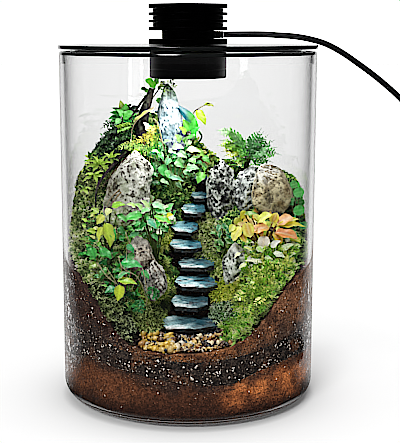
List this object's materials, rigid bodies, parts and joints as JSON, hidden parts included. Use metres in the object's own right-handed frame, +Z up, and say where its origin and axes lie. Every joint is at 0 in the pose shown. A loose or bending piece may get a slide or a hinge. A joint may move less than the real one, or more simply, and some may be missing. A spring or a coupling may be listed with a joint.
{
  "type": "glass plant terrarium",
  "caption": "Lidded glass cylinder planted with a mossy stone hillside and a slate stairway over layered soil, with a finned round lamp set through the lid.",
  "frame": {"origin": "centre of the jar's flat underside", "axes": "+Z up along the jar's axis; -Y is the front, with the steps; the lamp's lead leaves towards +X"},
  "size_m": [0.3561, 0.2016, 0.3094],
  "materials": {
    "clear_glass": "clear, glossy",
    "silicone_clear": "translucent silicone",
    "lamp_black": "black anodised, satin",
    "gasket_black": "matte",
    "board_white": "white solder mask",
    "bright_steel": "plated",
    "lens_opal": "opal diffuser",
    "cord_black": "smooth satin jacket",
    "plug_black": "satin",
    "clay_soil": "coarse orange-brown grains",
    "drain_gravel": "dark grit with white flecks",
    "planting_soil": "damp dark brown",
    "pebble_tan": "rounded tan and yellow pebbles",
    "stone_white": "pale, pitted",
    "stone_grey": "rough, dark pits",
    "stone_dark": "craggy, white edges",
    "stone_tan": "rounded, sandy",
    "stone_pink": "rough, pinkish",
    "slate_blue": "split slate, damp",
    "wood_dark": "weathered bark",
    "moss_green": "fine tufts",
    "leaf_green": "waxy leaf",
    "leaf_lime": "fresh leaf",
    "leaf_dark": "dark leaf",
    "leaf_variegated": "pale veined leaf",
    "leaf_gold": "yellow leaf with orange veins",
    "leaf_teal": "blue-green leaf"
  },
  "bodies": {
    "root": {"glass_jar": "clear_glass", "glass_lid": "clear_glass", "lid_bumper_1": "silicone_clear", "lid_bumper_2": "silicone_clear", "lid_bumper_3": "silicone_clear", "lamp_heatsink": "lamp_black", "lamp_housing": "lamp_black", "lens_ring": "lamp_black", "lamp_gasket_upper": "gasket_black", "lamp_gasket_lower": "gasket_black", "led_board": "board_white", "board_screw_1": "bright_steel", "board_screw_2": "bright_steel", "lamp_lens": "lens_opal", "cord_strain_relief": "cord_black", "cord_tube": "cord_black", "cord_coil": "cord_black", "plug_body": "plug_black", "plug_shell": "bright_steel", "soil_base": "clay_soil", "gravel_layer": "drain_gravel", "soil_hill": "planting_soil", "pebble_bed": "pebble_tan", "rock_peak": "stone_white", "rock_left_tall": "stone_grey", "rock_left_low": "stone_pink", "rock_left_ribbed": "stone_grey", "rock_center_dark": "stone_dark", "rock_right_boulder": "stone_tan", "rock_right_low": "stone_grey", "slate_step_1": "slate_blue", "slate_step_2": "slate_blue", "slate_step_3": "slate_blue", "slate_step_4": "slate_blue", "slate_step_5": "slate_blue", "slate_step_6": "slate_blue", "slate_step_7": "slate_blue", "slate_step_8": "slate_blue", "slate_step_9": "slate_blue", "driftwood": "wood_dark", "moss_left": "moss_green", "moss_right": "moss_green", "moss_back": "moss_green", "fern_right": "leaf_green", "succulent_left": "leaf_dark", "palmate_left": "leaf_lime", "round_leaf_shrub": "leaf_green", "long_leaf_peak": "leaf_teal", "variegated_creeper": "leaf_variegated", "yellow_fern_left": "leaf_lime", "mint_left": "leaf_green", "ground_fig_left": "leaf_lime", "low_creeper_left": "leaf_green", "friendship_plant": "leaf_green", "fittonia_right": "leaf_gold", "dollar_creeper_right": "leaf_green", "selaginella_right": "leaf_lime", "feather_moss_front": "leaf_lime", "back_ivy": "leaf_green", "back_fern": "leaf_green"}
  },
  "joints": []
}
